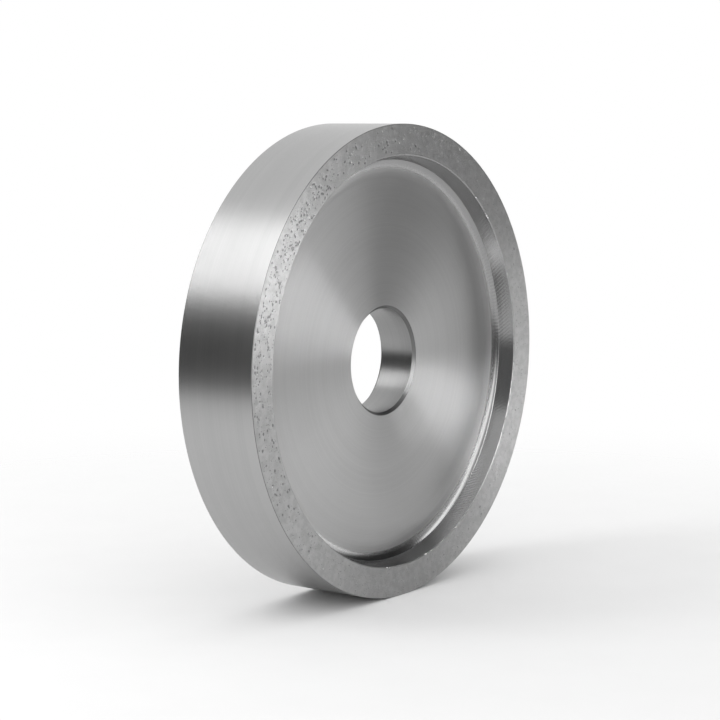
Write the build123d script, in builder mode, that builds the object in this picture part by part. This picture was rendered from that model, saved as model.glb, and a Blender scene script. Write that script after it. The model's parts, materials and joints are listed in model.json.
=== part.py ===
from build123d import *
from math import radians, sqrt, tan
import os

# A diamond face-grinding wheel with a metal bond, in millimetres.
#
# The wheel turns about Y. Its working face looks towards -Y and its back towards +Y, and the
# origin is on the axis, midway between the working face and the back rim. +Z is up, so the wheel
# stands on its rim as it would on an arbor.
#
# It is built as the real one is: a turned steel body, a diamond-free backing ring that is pressed
# and sintered onto the body's seat and locks into a dovetail groove there, and the diamond ring
# that is sintered onto the backing. All three are then ground flush outside and in the recess.

# Overall form
wheel_diameter = 100.0
wheel_width = 19.05             # working face to back rim, 3/4 in
bore_diameter = 22.23           # slides on a 7/8 in arbor
bore_chamfer = 0.6

# Working rim
rim_face_width = 6.5            # working face, from its outer edge to the lip of the recess
diamond_depth = 2.6             # how deep the diamond section can wear
backing_depth = 1.0             # bond without diamond, between diamond section and steel
ring_bore_taper = 15.0          # degrees, how the recess wall closes in from the lip to the seat
working_edge_break = 0.25

# Front recess in the steel body
seat_height = 1.4               # ring seat above the recess floor
corner_blend_radius = 6.4       # round between the floor and the seat's inner edge

# Back recess in the steel body
back_recess_depth = 4.75
back_rim_width = 7.5
back_corner_radius = 3.0
back_edge_break = 0.4

# Dovetail key under the backing ring
key_width = 2.4                 # at its neck, level with the seat
key_depth = 1.2
key_flank_angle = 15.0          # degrees, how far each flank leans outwards
key_shrink_gap = 0.05           # the bond draws back this far from the groove as it cools

# Radii
outer_radius = wheel_diameter / 2
bore_radius = bore_diameter / 2
lip_radius = outer_radius - rim_face_width
back_lip_radius = outer_radius - back_rim_width

# Levels along the axis, from the working face to the back rim
face_y = -wheel_width / 2
backing_y = face_y + diamond_depth
seat_y = backing_y + backing_depth
floor_y = seat_y + seat_height
back_y = wheel_width / 2
back_floor_y = back_y - back_recess_depth


def wall_radius(y):
    """Radius of the tapered recess wall at a level between the working face and the seat."""
    return lip_radius - (y - face_y) * tan(radians(ring_bore_taper))


seat_inner_radius = wall_radius(seat_y)
key_radius = (seat_inner_radius + outer_radius) / 2

# The blend is an arc that leaves the floor smoothly and ends at the seat's inner edge.
blend_run = sqrt(2 * corner_blend_radius * seat_height - seat_height**2)
floor_radius = seat_inner_radius - blend_run


def dovetail(gap):
    """Section of the key, neck on the seat and wider at the bottom, grown by gap on each side."""
    depth = key_depth + gap
    bottom_width = key_width + 2 * gap + 2 * depth * tan(radians(key_flank_angle))
    with Locations((key_radius, seat_y)):
        Trapezoid(bottom_width, depth, 90 + key_flank_angle, align=(Align.CENTER, Align.MIN))


# Steel body: hub, web and rim in one turning
with BuildPart() as steel_body:
    with BuildSketch(Plane.XY):
        with BuildLine():
            floor = Line((bore_radius, floor_y), (floor_radius, floor_y))
            blend = TangentArc(floor @ 1, (seat_inner_radius, seat_y), tangent=floor % 1)
            Polyline(
                blend @ 1,
                (outer_radius, seat_y),
                (outer_radius, back_y),
                (back_lip_radius, back_y),
                (back_lip_radius, back_floor_y),
                (bore_radius, back_floor_y),
                floor @ 0,
            )
        make_face()
    revolve(axis=Axis.Y)

    # Dovetail groove, open on the seat
    with BuildSketch(Plane.XY):
        dovetail(key_shrink_gap)
    revolve(axis=Axis.Y, mode=Mode.SUBTRACT)

    # Lead-ins at both ends of the bore
    bore_wall = steel_body.faces().filter_by(GeomType.CYLINDER).sort_by(SortBy.RADIUS)[0]
    chamfer(bore_wall.edges().filter_by(GeomType.CIRCLE), bore_chamfer)

    # Round in the corner of the back recess
    back_floor_edges = steel_body.edges().filter_by(GeomType.CIRCLE).group_by(Axis.Y)[-2]
    fillet(back_floor_edges.sort_by(SortBy.RADIUS)[-1], back_corner_radius)

    # Broken edges on both sides of the back rim
    chamfer(steel_body.edges().filter_by(GeomType.CIRCLE).group_by(Axis.Y)[-1], back_edge_break)

steel_body.part.label = "steel_body"

# Backing ring: bond without diamond, with the key that fills the body's groove
with BuildPart() as backing_ring:
    with BuildSketch(Plane.XY):
        with BuildLine():
            Polyline(
                (seat_inner_radius, seat_y),
                (wall_radius(backing_y), backing_y),
                (outer_radius, backing_y),
                (outer_radius, seat_y),
                close=True,
            )
        make_face()
        dovetail(0)
    revolve(axis=Axis.Y)

backing_ring.part.label = "backing_ring"

# Diamond ring: the working layer
with BuildPart() as diamond_ring:
    with BuildSketch(Plane.XY):
        with BuildLine():
            Polyline(
                (wall_radius(backing_y), backing_y),
                (lip_radius, face_y),
                (outer_radius, face_y),
                (outer_radius, backing_y),
                close=True,
            )
        make_face()
    revolve(axis=Axis.Y)

    # Broken edges at the rim and at the lip
    chamfer(diamond_ring.edges().filter_by(GeomType.CIRCLE).group_by(Axis.Y)[0], working_edge_break)

diamond_ring.part.label = "diamond_ring"

os.makedirs("parts", exist_ok=True)
export_step(steel_body.part, "parts/steel_body.step")
export_step(backing_ring.part, "parts/backing_ring.step")
export_step(diamond_ring.part, "parts/diamond_ring.step")
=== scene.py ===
# %% [markdown]
# # A diamond face-grinding wheel
#
# The wheel is a steel disc, 100 mm across, with a recess turned into each side and a plain bore for
# the arbor. A ring of metal bond full of diamond grit is sintered onto its rim and does the grinding.
# Everything here is metal, so two things decide how real it looks: the tool marks that run round it,
# and what it has to reflect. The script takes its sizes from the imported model, turns finer meshes
# over that model's pieces, gives them their finishes and sets up a small studio.

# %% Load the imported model
import json
from math import atan2, cos, hypot, pi, radians, sin, sqrt, tan
from random import Random

import bmesh
import bpy
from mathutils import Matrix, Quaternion, Vector, noise


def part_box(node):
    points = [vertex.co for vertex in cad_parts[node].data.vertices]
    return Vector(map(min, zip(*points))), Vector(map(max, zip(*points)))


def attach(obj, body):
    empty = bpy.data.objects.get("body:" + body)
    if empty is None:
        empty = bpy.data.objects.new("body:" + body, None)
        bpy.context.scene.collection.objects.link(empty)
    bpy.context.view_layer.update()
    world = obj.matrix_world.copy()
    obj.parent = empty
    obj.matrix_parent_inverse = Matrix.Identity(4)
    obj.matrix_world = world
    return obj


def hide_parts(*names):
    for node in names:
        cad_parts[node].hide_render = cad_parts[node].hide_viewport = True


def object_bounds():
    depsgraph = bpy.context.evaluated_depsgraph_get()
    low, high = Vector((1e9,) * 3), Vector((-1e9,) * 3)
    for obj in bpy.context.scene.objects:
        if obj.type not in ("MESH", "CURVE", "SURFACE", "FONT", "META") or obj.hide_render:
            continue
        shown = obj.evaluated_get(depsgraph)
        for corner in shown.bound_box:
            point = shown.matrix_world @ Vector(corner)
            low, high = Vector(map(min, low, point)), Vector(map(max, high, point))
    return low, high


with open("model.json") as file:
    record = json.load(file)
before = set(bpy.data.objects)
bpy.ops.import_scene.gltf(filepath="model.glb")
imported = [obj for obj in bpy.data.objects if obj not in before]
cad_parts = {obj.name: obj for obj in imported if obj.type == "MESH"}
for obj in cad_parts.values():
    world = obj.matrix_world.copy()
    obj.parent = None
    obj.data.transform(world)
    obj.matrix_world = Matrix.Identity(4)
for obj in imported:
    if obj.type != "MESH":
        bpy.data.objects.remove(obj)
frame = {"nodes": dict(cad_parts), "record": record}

cad_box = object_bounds()
print("model from", [round(v, 5) for v in cad_box[0]], "to", [round(v, 5) for v in cad_box[1]])

# %% [markdown]
# ## Sizes
#
# A piece that is turned on a lathe is known by its levels along the axis and its radii. The levels
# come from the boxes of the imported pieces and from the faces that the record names, and the radii
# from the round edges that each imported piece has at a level. Nothing is typed in twice, so the fine
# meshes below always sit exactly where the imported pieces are.

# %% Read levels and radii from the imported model
mm = 0.001
mounts = {mount["name"]: mount for mount in frame["record"]["mounts"]}


def edge_radii(node, y):
    """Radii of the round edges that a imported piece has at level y, from the axis outwards."""
    radii = []
    for vertex in frame["nodes"][node].data.vertices:
        if abs(vertex.co.y - y) < 0.005 * mm:
            radius = hypot(vertex.co.x, vertex.co.z)
            if all(abs(radius - known) > 0.01 * mm for known in radii):
                radii.append(radius)
    return sorted(radii)


face_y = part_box("diamond_ring")[0].y
backing_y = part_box("diamond_ring")[1].y
seat_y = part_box("steel_body")[0].y
key_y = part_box("backing_ring")[1].y
key_gap = 0.05 * mm                 # left between key and groove as the bond shrinks
groove_y = key_y + key_gap
back_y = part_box("steel_body")[1].y
floor_y = mounts["front_clamp_face"]["pos_m"][1]
back_floor_y = mounts["back_clamp_face"]["pos_m"][1]

outer_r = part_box("steel_body")[1].x
bore_r = mounts["bore"]["dims"]["r_mm"] * mm
bore_edge_r, floor_r = edge_radii("steel_body", floor_y)[:2]
crease_r = edge_radii("backing_ring", seat_y)[0]
backing_r = edge_radii("backing_ring", backing_y)[0]
lip_r = backing_r + (backing_r - crease_r) * (backing_y - face_y) / (seat_y - backing_y)
back_lip_r, back_outer_r = edge_radii("steel_body", back_y)
back_floor_r = edge_radii("steel_body", back_floor_y)[-1]
key_neck = edge_radii("backing_ring", seat_y)[1:3]
key_foot = edge_radii("backing_ring", key_y)
groove_foot = edge_radii("steel_body", groove_y)

levels = {"face": face_y, "backing": backing_y, "seat": seat_y, "key": key_y, "groove": groove_y,
          "floor": floor_y, "back floor": back_floor_y, "back": back_y}
radii = {"bore": bore_r, "bore edge": bore_edge_r, "floor": floor_r, "crease": crease_r,
         "backing": backing_r, "lip": lip_r, "back floor": back_floor_r, "back lip": back_lip_r,
         "back edge": back_outer_r, "outside": outer_r}
for title, found in (("levels", levels), ("radii", radii)):
    print(title, {name: round(value / mm, 3) for name, value in found.items()})
print("key", [round(r / mm, 3) for r in key_neck + key_foot])
print("groove", [round(r / mm, 3) for r in groove_foot])

# %% [markdown]
# ## A lathe for fine meshes
#
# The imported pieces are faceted, because few faces make a good model for physics. The real wheel is
# turned, so its surfaces are round to a hair and its edges are broken by a touch of the file. A
# lathe in code gives that: it takes the outline of half a section, rounds the corners, and carries
# each point round the axis in many small steps. It could also be Blender's Screw modifier on a
# curve, but a loop lets every point be worn, chipped or rippled as it is set down.

# %% Outline tools
round_steps = 1980
corner_steps = 4
guard = 0.05 * mm


def corner(radius, y, rounding):
    return radius, y, rounding


def smooth(points):
    """Outline points that are used as they are."""
    return [(radius, y, 0) for radius, y in points]


def run(start, end, parts):
    """Points strictly between two ends, at equal distances."""
    return smooth([(start[0] + (end[0] - start[0]) * i / parts, start[1] + (end[1] - start[1]) * i / parts)
                   for i in range(1, parts)])


def arc(centre, radius, first, last, parts):
    """Points on an arc, both ends included, with angles in degrees from the outward direction to +Y."""
    angles = [radians(first + (last - first) * i / parts) for i in range(parts + 1)]
    return smooth([(centre[0] + radius * cos(a), centre[1] + radius * sin(a)) for a in angles])


def rounded(outline):
    """Closed outline with its corners rounded. A guard point beside each round keeps flats flat."""
    points = []
    for i, (radius, y, rounding) in enumerate(outline):
        here = Vector((radius, y))
        if rounding == 0:
            points.append(here)
            continue
        back = (Vector(outline[i - 1][:2]) - here).normalized()
        ahead = (Vector(outline[(i + 1) % len(outline)][:2]) - here).normalized()
        half = back.angle(ahead) / 2
        reach = rounding / tan(half)
        centre = here + (back + ahead).normalized() * rounding / sin(half)
        start, end = here + back * reach - centre, here + ahead * reach - centre
        sweep = start.angle_signed(end)
        points.append(here + back * (reach + guard))
        for step in range(corner_steps + 1):
            turn = -sweep * step / corner_steps
            points.append(centre + Vector((start.x * cos(turn) - start.y * sin(turn),
                                           start.x * sin(turn) + start.y * cos(turn))))
        points.append(here + ahead * (reach + guard))
    return points


# %% Make a piece from its points and faces
def made(name, vertices, faces, sharp_angle):
    mesh = bpy.data.meshes.new(name)
    mesh.from_pydata(vertices, [], faces)
    shape = bmesh.new()
    shape.from_mesh(mesh)
    bmesh.ops.recalc_face_normals(shape, faces=shape.faces)
    print(f"{name}: {shape.calc_volume() / mm**3:.0f} cubic mm")
    shape.to_mesh(mesh)
    shape.free()
    mesh.shade_smooth()
    mesh.set_sharp_from_angle(angle=sharp_angle)
    piece = bpy.data.objects.new(name, mesh)
    bpy.context.scene.collection.objects.link(piece)
    return piece


# %% Turn an outline into a mesh
def turned(name, outline, wear):
    """Closed mesh turned about Y. wear(radius, y, angle, row, step) gives the worn radius and y."""
    points = rounded(outline)
    vertices = []
    for row, point in enumerate(points):
        for step in range(round_steps):
            angle = 2 * pi * step / round_steps
            radius, y = wear(point.x, point.y, angle, row, step)
            vertices.append((radius * cos(angle), y, radius * sin(angle)))
    faces = []
    for row in range(len(points)):
        this, following = row * round_steps, (row + 1) % len(points) * round_steps
        for step in range(round_steps):
            beside = (step + 1) % round_steps
            faces.append((this + step, this + beside, following + beside, following + step))
    print(f"{name}: {len(points)} outline points, {len(faces)} faces")
    return made(name, vertices, faces, radians(32))


# %% [markdown]
# ## Tool chatter
#
# The recess wall and the round below it were cut with a broad tool, and it shook. That left about
# 330 shallow ripples round the wall, 0.8 mm apart and a few thousandths of a millimetre deep. A bump
# texture could draw them, but they are a shape, so the mesh has them. They run straight up the round,
# lean on the wall, lean back again near the lip, and die out towards the floor. The tool shook more
# at some places than at others, so a slow noise makes them deeper here and fainter there.

# %% Chatter ripples
ripple_count = 330
ripple_depth = 0.008 * mm
ripple_lean = 6.5 / mm          # how fast a ripple drifts round the wheel on its way up the wall
turn_back = 2.6 * mm            # height on the wall where it drifts back


def ripple(y, angle):
    """How far the chatter moves the surface outwards at a level of the recess wall or its round."""
    up_wall = max(0.0, seat_y - y)
    down_round = max(0.0, y - seat_y) / (floor_y - seat_y)
    fade = max(0.0, 1 - down_round) ** 1.5 * (1 - 0.45 * up_wall / (seat_y - face_y))
    patch = 0.7 + 0.8 * noise.noise(Vector((cos(angle) * 2.3, sin(angle) * 2.3, 5.1)))
    lean = ripple_lean * (min(up_wall, turn_back) - max(0.0, up_wall - turn_back))
    return ripple_depth * fade * patch * sin(ripple_count * angle - lean)


# %% [markdown]
# ## Steel body
#
# One turning: hub, web and rim. The outline runs from the bore across the front floor, up the round
# to the crease, along the seat with its dovetail groove, down the outside and back over the rear
# recess. The bore keeps the faint rings that a boring bar leaves, again as shape.

# %% Body outline
fine_break = 0.08 * mm
bore_ring_depth = 0.003 * mm
bore_ring_width = 0.45 * mm
back_break = outer_r - back_outer_r
back_wall_r = back_lip_r - back_break
back_round = back_wall_r - back_floor_r
lead_in = bore_edge_r - bore_r
blend_rise = floor_y - seat_y
blend_radius = ((crease_r - floor_r) ** 2 + blend_rise**2) / (2 * blend_rise)
blend_centre = (floor_r, floor_y - blend_radius)
blend_end = 180 / pi * atan2(seat_y - blend_centre[1], crease_r - floor_r)
groove_neck = edge_radii("steel_body", seat_y)[1:3]
print(f"front round {blend_radius / mm:.2f} mm, back round {back_round / mm:.2f} mm")
print(f"lead-in {lead_in / mm:.2f} mm")

# The tool's nose leaves a small round in the crease. The joint with the backing ring runs through it.
nose_round = 0.22 * mm
crease = Vector((crease_r, seat_y))
down_blend = Vector((blend_centre[1] - seat_y, crease_r - floor_r)).normalized()
up_wall = Vector((backing_r - crease_r, backing_y - seat_y)).normalized()
crease_round = rounded([corner(*(crease + down_blend * mm), 0), corner(*crease, nose_round),
                        corner(*(crease + up_wall * mm), 0)])[1:-1]
below_seat = [point for point in crease_round if point.y > seat_y]
above_seat = [point for point in crease_round if point.y <= seat_y]
share = (below_seat[-1].y - seat_y) / (below_seat[-1].y - above_seat[0].y)
joint_r = below_seat[-1].lerp(above_seat[0], share).x
print(f"the crease is filled by {(crease_r - joint_r) / mm:.3f} mm")

body_outline = [
    corner(bore_edge_r, floor_y, fine_break),
    *run((bore_edge_r, floor_y), (floor_r, floor_y), 12),
    *arc(blend_centre, blend_radius, 90, blend_end, 16)[:-1],
    *smooth(below_seat),
    *smooth([(joint_r, seat_y), (groove_neck[0], seat_y), (groove_foot[0], groove_y),
             (groove_foot[1], groove_y), (groove_neck[1], seat_y), (outer_r, seat_y)]),
    *run((outer_r, seat_y), (outer_r, back_y), 6),
    corner(outer_r, back_y - back_break, 2 * fine_break),
    corner(back_outer_r, back_y, 2 * fine_break),
    *run((back_outer_r, back_y), (back_lip_r, back_y), 4),
    corner(back_lip_r, back_y, fine_break),
    corner(back_wall_r, back_y - back_break, fine_break),
    *arc((back_floor_r, back_floor_y + back_round), back_round, 0, -90, 12),
    *run((back_floor_r, back_floor_y), (bore_edge_r, back_floor_y), 10),
    corner(bore_edge_r, back_floor_y, fine_break),
    corner(bore_r, back_floor_y - lead_in, fine_break),
    *run((bore_r, back_floor_y - lead_in), (bore_r, floor_y + lead_in), 40),
    corner(bore_r, floor_y + lead_in, fine_break),
]


def body_wear(radius, y, angle, row, step):
    if y < floor_y and floor_r < radius < crease_r:
        radius += ripple(y, angle)
    elif radius < bore_r + 0.001 * mm:
        radius += bore_ring_depth * noise.noise(Vector((y / bore_ring_width, cos(angle), sin(angle))))
    return radius, y


steel = turned("wheel_body", body_outline, body_wear)
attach(steel, "root")
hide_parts("steel_body")

# %% [markdown]
# ## Backing ring
#
# A millimetre of metal bond without diamond. It is pressed onto the seat as powder, runs down into
# the dovetail groove and locks there when it is sintered. Outside and in the recess it is turned
# together with the steel, so the joint hardly shows.

# %% Backing ring
backing_outline = [
    *smooth([(joint_r, seat_y)]),
    *smooth(above_seat),
    *run((crease_r, seat_y), (backing_r, backing_y), 5)[1:],
    *smooth([(backing_r, backing_y), (outer_r, backing_y)]),
    *run((outer_r, backing_y), (outer_r, seat_y), 2),
    *smooth([(outer_r, seat_y), (key_neck[1], seat_y), (key_foot[1], key_y),
             (key_foot[0], key_y), (key_neck[0], seat_y)]),
]


def backing_wear(radius, y, angle, row, step):
    return (radius + ripple(y, angle) if radius < backing_r + 0.001 * mm else radius), y


backing = turned("backing_ring_turned", backing_outline, backing_wear)
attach(backing, "root")
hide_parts("backing_ring")

# %% [markdown]
# ## Where the grit sits
#
# About 1900 grains show on the working face, near one for each square millimetre. Each sits in a
# shallow pocket, because the bond round it is worn back by the swarf. In a third of the pockets the
# grain has been pulled out. A worn face also has soft hollows, wider and deeper than a pocket, where
# several grains left together and took some bond with them. Their bottoms are painted darkest, as
# shade. They aren't spread evenly: this wheel has most of them on one side, so a place is kept with a
# chance that falls off away from that side. All is scattered with a fixed seed, so the wheel is the same each
# time.

# %% Scatter the grit
bond_y = face_y + 0.045 * mm        # the grains stand proud of the bond by this much
grain_count = 1900
share_kept = 0.65
grit_seed = Random(61)
grit = []
while len(grit) < grain_count:
    radius = sqrt(grit_seed.uniform((lip_r + 0.35 * mm) ** 2, (outer_r - 0.5 * mm) ** 2))
    angle = grit_seed.uniform(0, 2 * pi)
    size = grit_seed.triangular(0.10, 0.27, 0.15) * mm
    grit.append((radius, angle, size, grit_seed.random() > 1 - share_kept))
print(len(grit), "pockets,", sum(kept for *_, kept in grit), "with a grain")

# %% Scatter the soft hollows
hollow_count = 330
crowded_side = radians(156)
hollows = []
while len(hollows) < hollow_count:
    radius = grit_seed.uniform(lip_r + 0.5 * mm, outer_r - 0.6 * mm)
    angle = grit_seed.uniform(0, 2 * pi)
    chance = 0.015 + cos((angle - crowded_side) / 2) ** 16
    if grit_seed.random() < chance:
        hollows.append((radius, angle, grit_seed.triangular(0.13, 0.35, 0.21) * mm))
print(len(hollows), "soft hollows")

# %% [markdown]
# ## Diamond ring
#
# The working layer. Its face is the only rough surface of the wheel: pockets and hollows are pressed
# into the mesh here, and the lip of the recess is chipped where grains broke out of it. Both edges of
# the face are stoned round by a tenth or two of a millimetre, so that they can't catch.

# %% Diamond ring outline
working_round = 0.15 * mm
lip_round = 0.20 * mm

ring_outline = [
    *smooth([(backing_r, backing_y)]),
    *run((backing_r, backing_y), (lip_r, bond_y), 14),
    corner(lip_r, bond_y, lip_round),
    *run((lip_r + lip_round, bond_y), (outer_r - working_round - 0.1 * mm, bond_y), 44),
    corner(outer_r, bond_y, working_round),
    *run((outer_r, bond_y + working_round), (outer_r, backing_y), 3),
    *smooth([(outer_r, backing_y)]),
]
ring_points = rounded(ring_outline)
step_angle = 2 * pi / round_steps

# %% Press pockets and hollows into the face
pocket_depth = 0.03 * mm
usual_grain = 0.2 * mm
hollow_depth = 0.10 * mm
hollow_stretch = 1.4                # a hollow is longer along the rim than across it
dents = {}


def press(radius, angle, reach, depth, stretch=1.0):
    """Press a bowl into the face's points round one place. reach is half its width across the rim."""
    long = stretch * reach / radius / step_angle
    for row, point in enumerate(ring_points):
        if abs(point.y - bond_y) > 0.001 * mm or abs(point.x - radius) > reach:
            continue
        first = int(angle / step_angle - long)
        for step in range(first, first + int(2 * long) + 2):
            away = hypot(point.x - radius, (step * step_angle - angle) * radius / stretch) / reach
            if away < 1:
                place = (row, step % round_steps)
                dents[place] = max(dents.get(place, 0.0), depth * (1 - away**2))


for radius, angle, size, kept in grit:
    press(radius, angle, size * 1.35, pocket_depth * (0.5 if kept else 1.0) * size / usual_grain)
for radius, angle, reach in hollows:
    press(radius, angle, reach, hollow_depth, hollow_stretch)
print(len(dents), "points of the face lie in pockets and hollows")

# %% Chips on the lip
chip_seed = Random(7)
chip_count = 420
lip_break = [0.06 * mm] * round_steps       # how far the lip is broken at each step round the wheel
for _ in range(chip_count):
    middle, length = chip_seed.random() * round_steps, chip_seed.uniform(0.12, 0.45) * mm
    depth = (0.08 + 0.22 * chip_seed.random() ** 2.5) * mm
    width = length / (lip_r * step_angle)
    for step in range(int(middle - width), int(middle + width) + 2):
        bite = depth * (1 - ((step - middle) / width) ** 2)
        lip_break[step % round_steps] = max(lip_break[step % round_steps], bite)
print(f"deepest chip {max(lip_break) / mm:.2f} mm")


def ring_wear(radius, y, angle, row, step):
    edge = Vector((lip_r, bond_y))
    away = Vector((radius, y)) - edge
    if radius < lip_r and y > bond_y + 0.5 * mm:
        radius += ripple(y, angle)
    elif away.length < lip_break[step]:
        radius, y = edge + away.normalized() * lip_break[step]
    else:
        y += dents.get((row, step), 0.0)
    return radius, y


ring = turned("diamond_ring_bond", ring_outline, ring_wear)
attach(ring, "root")
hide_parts("diamond_ring")

# %% [markdown]
# ## Diamond grains
#
# Saw and wheel grit is made of blocky crystals, a cube with its corners cut off. Each grain is such
# a crystal, turned any way up, with its top dressed level with the working face. They are one mesh,
# because nothing ever moves them apart.

# %% Grow the grains
crystal = [Vector(p) for p in ((1, 1, 0), (1, -1, 0), (-1, 1, 0), (-1, -1, 0), (1, 0, 1), (1, 0, -1),
                               (-1, 0, 1), (-1, 0, -1), (0, 1, 1), (0, 1, -1), (0, -1, 1), (0, -1, -1))]
crystal_faces = [(0, 4, 1, 5), (2, 7, 3, 6), (0, 9, 2, 8), (1, 10, 3, 11), (4, 8, 6, 10), (5, 11, 7, 9),
                 (0, 8, 4), (0, 5, 9), (1, 4, 10), (1, 11, 5), (2, 6, 8), (2, 9, 7), (3, 10, 6), (3, 7, 11)]

grain_points, grain_faces = [], []
for radius, angle, size, kept in grit:
    if not kept:
        continue
    turn = Quaternion([grit_seed.gauss(0, 1) for _ in range(4)]).normalized()
    stretch = Vector([grit_seed.uniform(0.8, 1.15) for _ in range(3)])
    shaped = [turn @ Vector((p.x * stretch.x, p.y * stretch.y, p.z * stretch.z)) * size / sqrt(2)
              for p in crystal]
    sunk = grit_seed.uniform(-0.03, 0.015) * mm - min(p.y for p in shaped)
    middle = Vector((radius * cos(angle), face_y + sunk, radius * sin(angle)))
    first = len(grain_points)
    for point in shaped:
        place = middle + point
        grain_points.append((place.x, max(place.y, face_y), place.z))
    grain_faces += [tuple(first + i for i in face) for face in crystal_faces]
grains = made("diamond_grains", grain_points, grain_faces, radians(10))
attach(grains, "root")

# %% [markdown]
# ## Sums on shader sockets
#
# A finish is easier to read as a sum than as a picture of nodes. The class below wraps one output
# socket of a node. Plus, minus and times on it add the Math nodes, and add() makes any other node:
# its settings go in first, then the numbers or wires of its inputs.

# %% A wire
class Wire:
    """One output of a shader node, which Python sums can use."""

    def __init__(self, tree, socket=None):
        self.tree, self.socket = tree, socket

    def add(self, kind, settings=None, inputs=None, output=0):
        """A new node of any kind, and a wire from one of its outputs."""
        node = self.tree.nodes.new("ShaderNode" + kind)
        for name, value in (settings or {}).items():
            setattr(node, name, value)
        for name, value in (inputs or {}).items():
            if isinstance(value, Wire):
                self.tree.links.new(value.socket, node.inputs[name])
            else:
                node.inputs[name].default_value = value
        return Wire(self.tree, node.outputs[output] if node.outputs else None)

    def maths(self, operation, *others):
        return self.add("Math", {"operation": operation}, dict(enumerate((self, *others))))

    def vectors(self, operation, *values, output=0):
        return self.add("VectorMath", {"operation": operation}, dict(enumerate(values)), output)

    def __add__(self, other):
        return self.maths("ADD", other)

    def __sub__(self, other):
        return self.maths("SUBTRACT", other)

    def __rsub__(self, other):
        return self.add("Math", {"operation": "SUBTRACT"}, {0: other, 1: self})

    def __mul__(self, other):
        return self.maths("MULTIPLY", other)

    __radd__, __rmul__ = __add__, __mul__

    def between(self, low, high):
        """0 below low, 1 above high and a soft step from one to the other."""
        return self.add("MapRange", {"interpolation_type": "SMOOTHSTEP"},
                        {"Value": self, "From Min": low, "From Max": high})

    def speckle(self, place, scale, detail=2.0, roughness=0.5):
        return self.add("TexNoise", {}, {"Vector": place, "Scale": scale, "Detail": detail,
                                         "Roughness": roughness})

    def shades(self, mask, dark, light, blend="MIX"):
        """A colour between two others, as mask goes from 0 to 1. A Mix node has its colours at 6 and 7."""
        return self.add("Mix", {"data_type": "RGBA", "blend_type": blend}, {0: mask, 6: dark, 7: light},
                        output=2)


# %% Start and end of a finish
def grey(shade):
    return shade, shade, shade, 1.0


def blank(name):
    """An empty material, and a wire to build its nodes with."""
    material = bpy.data.materials.new(name)
    material.use_nodes = True
    material.node_tree.nodes.clear()
    return material, Wire(material.node_tree)


def finish(material, wire, **inputs):
    """Give the material one Principled shader, fed with numbers or wires."""
    shader = wire.add("BsdfPrincipled", {}, {key.replace("_", " "): value for key, value in inputs.items()})
    wire.add("OutputMaterial", {}, {"Surface": shader})
    print("finish", material.name, "with", len(wire.tree.nodes), "nodes")
    return material


# %% [markdown]
# ## Tool marks
#
# A turned surface is a spiral of fine grooves. Along a groove the metal is smooth, and across it the
# surface leans to and fro. That is why a turned disc shows bright fans that swing round as it moves.
# An anisotropic shader imitates this, but it needs a tangent for each point. Leaning the normal works
# without one and can be baked: the lean only depends on the distance from the axis and the distance
# along it, so it is the same all the way round, like a groove. The feed of the tool is regular, so
# most of the lean is a row of equal grooves, and a little noise makes them uneven.

# %% Places that differ
def plunged(radius, along):
    """1 on the recess wall and the steep part of its round, which a broad tool cut without a feed."""
    outside_floor = radius.between(crease_r - 1.8 * mm, crease_r - 1.35 * mm)
    inside_lip = 1 - radius.between(lip_r, lip_r + 0.1 * mm)
    front = 1 - along.between(-0.1 * mm, 0.1 * mm)
    return outside_floor * inside_lip * front


def lead_in_of(radius, along):
    """1 on the short cone at the front end of the bore."""
    inside_floor = 1 - radius.between(bore_edge_r - 0.02 * mm, bore_edge_r + 0.02 * mm)
    before_bore = 1 - along.between(floor_y + lead_in - 0.02 * mm, floor_y + lead_in + 0.02 * mm)
    return inside_floor * before_bore


# %% Surface of a turned piece
def turned_surface(name):
    """Wires that every finish of a turned piece starts from. The last three are masks from 0 to 1."""
    material, wire = blank(name)
    place = wire.add("TexCoord", output=3)
    normal = wire.add("NewGeometry", output=1)
    outwards = wire.vectors("MULTIPLY", place, (1, 0, 1))
    round_unit = wire.vectors("NORMALIZE", wire.vectors("CROSS_PRODUCT", (0, 1, 0), outwards))
    radius = wire.vectors("LENGTH", outwards, output=1)
    along = wire.vectors("DOT_PRODUCT", place, (0, 1, 0), output=1)
    facing = wire.vectors("DOT_PRODUCT", normal, (0, 1, 0), output=1)
    lying = facing * facing
    return {"material": material, "wire": wire, "place": place, "normal": normal, "round": round_unit,
            "across": wire.vectors("CROSS_PRODUCT", normal, round_unit),
            "radius": radius, "along": along, "lying": lying,
            "face": lying.between(0.72, 0.90),
            "outside": radius.between(outer_r - 0.6 * mm, outer_r - 0.2 * mm),
            "plunged": plunged(radius, along)}


# %% Grooves
feed = 0.2 * mm                     # from one groove to the next


def groove_noise(surface, width, drift, detail, shift):
    """Noise that runs round the wheel in lines of this width. drift lets them change slowly on the way."""
    wire = surface["wire"]
    across, along = surface["radius"] * (1 / width), surface["along"] * (1 / width)
    section = wire.add("CombineXYZ", {}, {0: across, 1: along, 2: shift})
    slow = wire.add("VectorMath", {"operation": "SCALE"}, {0: surface["round"], "Scale": drift})
    return wire.speckle(wire.vectors("ADD", section, slow), 1.0, detail)


def feed_marks(surface, gentle, steep):
    """Slope across one groove after another: gentle over most of a groove, and steep near its crests.

    The grooves are counted from mid-width towards both faces, so their slope changes sign there.
    """
    depth = surface["along"].maths("ABSOLUTE")
    side = surface["along"].maths("SIGN")
    turns = surface["radius"] * (1 / feed) + depth * (1 / feed)
    across = turns.maths("FRACT") * 2 - 1
    squared = across * across
    return (across * gentle + across * squared * squared * squared * steep) * side


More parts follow.
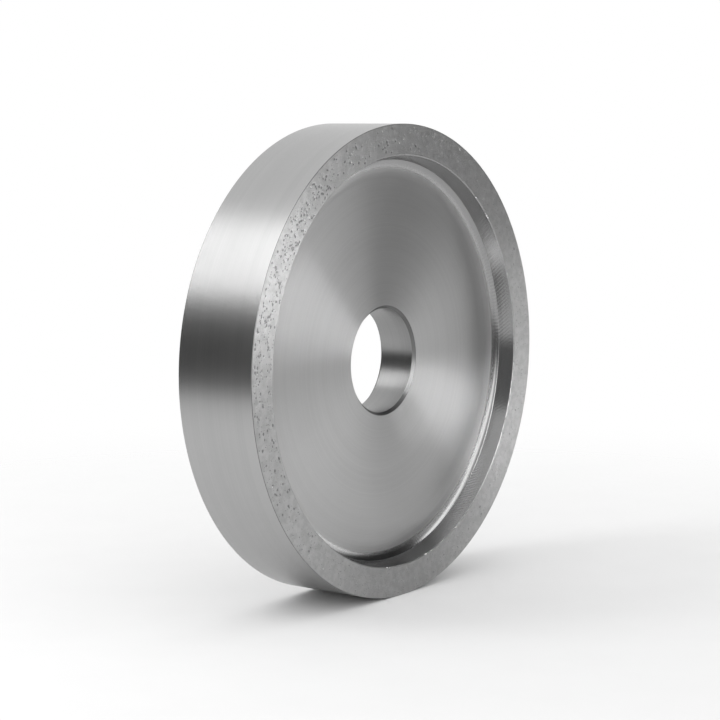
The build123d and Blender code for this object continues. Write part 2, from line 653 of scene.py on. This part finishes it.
def tooled(surface, gentle, steep, lean):
    """The surface's normal, leant across the grooves."""
    wire = surface["wire"]
    uneven = (groove_noise(surface, 0.22 * mm, 0.1, 1.0, 3.7) - 0.5) * (0.05 - surface["plunged"] * 0.03)
    slope = feed_marks(surface, gentle, steep) + lean + uneven
    tilt = wire.add("VectorMath", {"operation": "SCALE"}, {0: surface["across"], "Scale": slope})
    return wire.vectors("NORMALIZE", wire.vectors("ADD", surface["normal"], tilt))


def feed_slope(surface):
    """How steep the flanks of the grooves are. The broad tool left hardly any."""
    return 0.26 - surface["plunged"] * 0.25


# %% [markdown]
# ## Turned steel
#
# Bare steel, turned and then dressed with fine paper while it spins. The feed grooves, a fifth of a
# millimetre apart, spread its reflections across the grooves. Fine lines and slow bands, where the
# paper pressed harder, change its tone and gloss a little. The outer cylinder, the walls inside it
# and the flat faces each have a shade of the one steel: the walls and the bore are painted darker as
# shade, the cone at the bore's mouth darkest, and the flat faces are painted lighter.
#
# The recess wall has no feed grooves, because the broad tool was plunged straight in, and it came out
# almost polished. So there the grooves stop and the roughness falls, and the ripples in the mesh
# show. The wall's normal also leans back by about three degrees, so that it mirrors what stands
# beyond the recess, and not the recess floor.
#
# One warning from making this finish: a rough, leaning normal that changes from dot to dot wants a
# roughness of about 0.3 or more, or the render gets blotches. A low roughness is only for places
# where the normal is calm.

# %% Steel and bare bond
wall_lean = 0.06
floor_lean = 0.05                   # shifts the fans on the flat faces slightly
polish_gain = 0.13                  # how much smoother the broad tool's cut is


def ground_metal(name, cylinder_shade, wall_painted_shade, face_painted_light, roughness):
    surface = turned_surface(name)
    wire, face, polish, radius = (surface[key] for key in ("wire", "face", "plunged", "radius"))
    wall = polish * radius.between(crease_r - 0.15 * mm, crease_r)
    normal = tooled(surface, feed_slope(surface), face * 1.8,
                    face * (1 - polish) * floor_lean + wall * wall_lean)

    bands = groove_noise(surface, 1.3 * mm, 0.2, 3.0, 9.2)
    lines = groove_noise(surface, 0.16 * mm, 0.2, 2.0, 1.3)
    clouds = wire.speckle(surface["place"], 90, 4.0)
    shine = roughness + (bands - 0.5) * 0.02 + (clouds - 0.5) * 0.02 - polish * polish_gain

    # Painted shade and light on the one steel: walls and bore darker, flat faces lighter.
    tone = wire.shades(surface["outside"], grey(wall_painted_shade), grey(cylinder_shade))
    tone = wire.shades(face, tone, grey(face_painted_light))
    # Painted shade: the lead-in cone at the bore's mouth is the darkest.
    tone = wire.shades(lead_in_of(radius, surface["along"]), tone, grey(0.16))
    marks = wire.shades(bands * 0.3 + lines * 0.5 + clouds * 0.2, grey(0.80), grey(1.08))
    tone = wire.shades(1.0, tone, marks, blend="MULTIPLY")
    return finish(surface["material"], wire, Base_Color=tone, Metallic=1.0, Roughness=shine, Normal=normal)


steel.data.materials.append(ground_metal("Turned steel", 0.43, 0.33, 0.585, 0.30))
backing.data.materials.append(ground_metal("Bare bond", 0.43, 0.29, 0.29, 0.30))

# %% [markdown]
# ## Diamond bond and diamond
#
# The working face is ground with coarse grit, so it is duller than the steel and has a fine
# unevenness everywhere, in its gloss and as a bump. Outside and in the recess the same piece was
# turned with the steel. One finish holds both, mixed by how far the surface faces the work. Its wall
# in the recess is painted darker than its outer cylinder, as shade. Small masks, made from the
# distance along the axis and from it, darken the bottoms of pockets and hollows as painted shade,
# and darken the stoned outer edge. They also dull the lip and give its round an even lighter tone
# than the wall below, a painted highlight.
# The grains are grey synthetic diamond: cloudy inside, with glossy facets.

# %% Diamond bond
surface = turned_surface("Diamond bond")
wire, face, polish, radius, along = (surface[key] for key in ("wire", "face", "plunged", "radius", "along"))
hollow = along.between(bond_y + 0.02 * mm, bond_y + 0.06 * mm) * face
lip = (radius.between(lip_r - 0.12 * mm, lip_r - 0.04 * mm)
       * (1 - radius.between(lip_r + 0.1 * mm, lip_r + 0.2 * mm)))
stoned = (surface["lying"].between(0.02, 0.2) * (1 - face)
          * radius.between(outer_r - 0.3 * mm, outer_r - 0.2 * mm))

grain_texture = wire.speckle(surface["place"], 3500, 3.0, 0.6)
mottle = wire.speckle(surface["place"], 900, 3.0).between(0.3, 0.7)
normal = tooled(surface, feed_slope(surface) + face * 0.7, face * 1.4,
                face * floor_lean + polish * (1 - face) * wall_lean)
rough_face = wire.add("Bump", {}, {"Strength": 1.0, "Distance": 0.02 * mm, "Height": grain_texture * face,
                                   "Normal": normal})
shine = (0.30 - polish * polish_gain + face * (0.09 + (grain_texture - 0.5) * 0.12)
         + hollow * 0.1 + lip * 0.12)

# Painted shade: the bond's wall in the recess is darker than its outer cylinder.
tone = wire.shades(surface["outside"], grey(0.29), grey(0.415))
tone = wire.shades(face, tone, wire.shades(mottle, grey(0.395), grey(0.475)))
# Painted shade: the bottoms of pockets and hollows are darker.
tone = wire.shades(hollow, tone, grey(0.24))
# Painted highlight: the lip round gets one lighter tone than the wall below it.
tone = wire.shades(lip, tone, grey(0.38))
tone = wire.shades(stoned, tone, grey(0.20))
ring.data.materials.append(finish(surface["material"], wire, Base_Color=tone, Metallic=1.0, Roughness=shine,
                                  Normal=rough_face))

# %% Diamond
material, wire = blank("Diamond")
cloudy = wire.speckle(wire.add("TexCoord", output=3), 2600, 2.0)
tone = wire.shades(cloudy.between(0.35, 0.65), grey(0.22), grey(0.40))
grains.data.materials.append(finish(material, wire, Base_Color=tone, Roughness=0.12 + cloudy * 0.25, IOR=2.4))

# %% [markdown]
# ## Floor
#
# A pale table top that the wheel stands on. It fades into the white all round. Fading it with a
# transparent shader, and not with paint, lets the same white world stand behind the wheel from every
# side, while the table under the wheel keeps its soft shadow.

# %% Floor
table_z = cad_box[0].z
bpy.ops.mesh.primitive_circle_add(vertices=128, radius=1.6, fill_type="NGON", location=(0, 0, table_z))
table = bpy.context.object
table.name = "table"
fade_from, fade_to = 0.07, 0.26
material, wire = blank("Pale table")
place = wire.add("TexCoord", output=3)
away = wire.vectors("LENGTH", place, output=1)
soft_grain = wire.speckle(place, 60, 3.0)
cloth = wire.add("BsdfDiffuse", {}, {"Color": wire.shades(soft_grain, grey(0.85), grey(0.88))})
gone = wire.add("BsdfTransparent")
faded = wire.add("MixShader", {}, {0: away.between(fade_from, fade_to), 1: cloth, 2: gone})
wire.add("OutputMaterial", {}, {"Surface": faded})
table.data.materials.append(material)
print(f"{table.name} at {table_z / mm:.1f} mm, fading from {fade_from / mm:.0f} to {fade_to / mm:.0f} mm out")

# %% [markdown]
# ## What the metal sees
#
# Bare metal has no look of its own worth the name: it shows the room. The room here is plain white,
# at a strength of 1, and it is also the background. In it the wheel stands in a tent of cards, as in
# any studio for metal. Only the metal sees them: they are hidden from the camera and don't shade the
# table.
#
# Black cards make the dark parts. The strips on the table behind and beside the wheel lie across the
# outer cylinder, the bore and the recess wall as dark bands. The tall ones in front darken the
# working face and the recess floor, and between them and the white above come the fans. Glowing
# cards stand before the black ones: those in front run along the round of the recess as a bright
# line, and the tall one to the side lights the upper part of the cylinder. Wide, mild cards do this
# with less noise than small, strong ones.

# %% World
world = bpy.data.worlds.new("White studio")
bpy.context.scene.world = world
world.use_nodes = True
world.node_tree.nodes.clear()
sky = Wire(world.node_tree)
sky.add("OutputWorld", {}, {"Surface": sky.add("Background", {}, {"Color": grey(1.0), "Strength": 1.0})})
print("world", world.name)

# %% Card finishes
def card_finish(name, kind, inputs):
    material, wire = blank(name)
    wire.add("OutputMaterial", {}, {"Surface": wire.add(kind, {}, inputs)})
    return material


def painted(name, shade):
    return card_finish(name, "BsdfDiffuse", {"Color": grey(shade)})


def glowing(name, strength):
    return card_finish(name, "Emission", {"Color": grey(1.0), "Strength": strength})


# %% A bent card
card_parts = 16


def card(name, material, distance, bearings, feet, tops):
    """A card bent round the wheel. Each pair is for its two ends, bearings in degrees from +X towards +Y."""
    points = []
    for low, high in (feet, tops):
        for i in range(card_parts + 1):
            share = i / card_parts
            bearing = radians(bearings[0] + (bearings[1] - bearings[0]) * share)
            height = max(table_z + 1 * mm, low + (high - low) * share)
            points.append((distance * cos(bearing), distance * sin(bearing), height))
    faces = [(i, i + 1, card_parts + 2 + i, card_parts + 1 + i) for i in range(card_parts)]
    mesh = bpy.data.meshes.new(name)
    mesh.from_pydata(points, [], faces)
    mesh.materials.append(material)
    sheet = bpy.data.objects.new(name, mesh)
    bpy.context.scene.collection.objects.link(sheet)
    sheet.visible_camera = sheet.visible_diffuse = sheet.visible_shadow = False
    print(name, "spans", *bearings, "degrees")


# %% Set up the cards
def level(height):
    return height, height


on_table = level(table_z)
black, dark_grey = painted("Black card", 0.035), painted("Grey card", 0.20)
card("front_black", black, 0.27, (-112, -30), on_table, level(0.50))
card("right_black", black, 0.27, (-30, 10), level(0.03), level(0.50))
card("near_black", black, 0.20, (-66, -24), on_table, level(-0.03))
card("far_black", black, 0.27, (10, 80), on_table, level(0.06))
card("back_black", black, 0.27, (80, 128), on_table, level(0.20))
card("corner_black", black, 0.27, (128, 166), on_table, level(0.11))
card("left_grey", dark_grey, 0.27, (166, 210), on_table, level(0.15))

core_glow = glowing("Core card", 2.8)
card("front_bright", glowing("Front card", 0.6), 0.24, (-105, -44), (-0.015, 0.045), (0.13, 0.17))
card("core_low", core_glow, 0.235, (-90, -66), (-0.012, 0.045), (0.03, 0.125))
card("core_high", core_glow, 0.235, (-74, -44), (0.052, 0.118), (0.108, 0.165))
card("low_bright", glowing("Low card", 1.5), 0.24, (-24, 12), on_table, level(0.02))
card("side_bright", glowing("Side card", 9.5), 0.24, (222, 250), (-0.004, 0.05), level(0.42))

# %% [markdown]
# ## Key light
#
# One soft box behind and above, on the left. It draws the broad sheen on top of the outer cylinder and
# gives the table its soft shadow. An area lamp looks as bright as a white card times its level when
# its power is level times pi times its area, so its strength is worked out and not guessed.

# %% Soft box
key_bearing, key_rise, key_distance = radians(144), radians(41), 0.32
key_width, key_height, key_level = 0.11, 0.18, 4.0
key_lamp = bpy.data.lights.new("key_box", "AREA")
key_lamp.shape, key_lamp.size, key_lamp.size_y = "RECTANGLE", key_width, key_height
key_lamp.energy = key_level * pi * key_width * key_height
key_box = bpy.data.objects.new("key_box", key_lamp)
bpy.context.scene.collection.objects.link(key_box)
key_box.visible_camera = False
key_box.location = Vector((cos(key_bearing) * cos(key_rise), sin(key_bearing) * cos(key_rise),
                           sin(key_rise))) * key_distance
key_box.rotation_mode = "QUATERNION"
key_box.rotation_quaternion = (-key_box.location).to_track_quat("-Z", "Y")
print(f"{key_box.name}: {key_lamp.energy:.2f} W")

# %% [markdown]
# ## Camera
#
# A long lens, a little above the wheel and well round to the side, so that the outer cylinder, the
# working face and the recess all show. It is placed from the middle of the working face: so far to
# the left, up and back along its own directions.

# %% Camera
camera_bearing, camera_rise = radians(-53.26), radians(6.634)
camera_left, camera_up, camera_back = 9.12 * mm, 0.451 * mm, 442.92 * mm
back = Vector((sin(camera_bearing) * cos(camera_rise), -cos(camera_bearing) * cos(camera_rise),
               sin(camera_rise)))
side = Vector((cos(camera_bearing), sin(camera_bearing), 0))
rise = back.cross(side)
lens = bpy.data.cameras.new("camera")
lens.lens, lens.sensor_width, lens.clip_start, lens.clip_end = 105, 36, 0.01, 100
camera = bpy.data.objects.new("camera", lens)
bpy.context.scene.collection.objects.link(camera)
camera.location = Vector((0, face_y, 0)) - camera_left * side + camera_up * rise + camera_back * back
camera.rotation_mode = "QUATERNION"
camera.rotation_quaternion = (-back).to_track_quat("-Z", "Y")
bpy.context.scene.camera = camera
bpy.context.scene.view_settings.view_transform = "Standard"
print("camera", round(camera.location.length, 3), "m from the wheel's centre")
